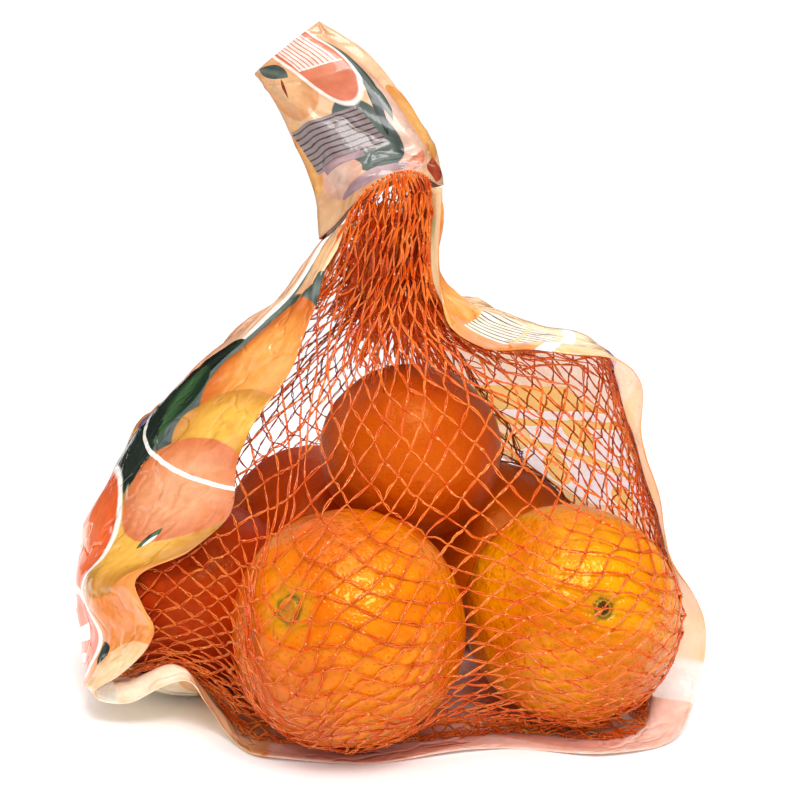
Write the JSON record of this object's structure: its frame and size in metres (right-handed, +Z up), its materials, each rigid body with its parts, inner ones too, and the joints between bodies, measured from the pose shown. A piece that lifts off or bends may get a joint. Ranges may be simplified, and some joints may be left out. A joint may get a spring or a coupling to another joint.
{
  "type": "net of oranges",
  "caption": "Navel oranges in a knitted orange net, closed by a glossy printed film band round the sides and base and gathered at the neck into a folded film header.",
  "frame": {"origin": "on the floor under the middle of the bag's bounding box", "axes": "+Z up, -Y towards the front net, +X to the right as seen from the front"},
  "size_m": [0.2336, 0.1951, 0.2464],
  "materials": {
    "net": "knitted plastic yarn, satin",
    "film": "printed glossy film",
    "peel": "waxed dimpled peel"
  },
  "bodies": {
    "root": {"net_body": "net", "film_band": "film", "film_header": "film"}
  },
  "joints": []
}
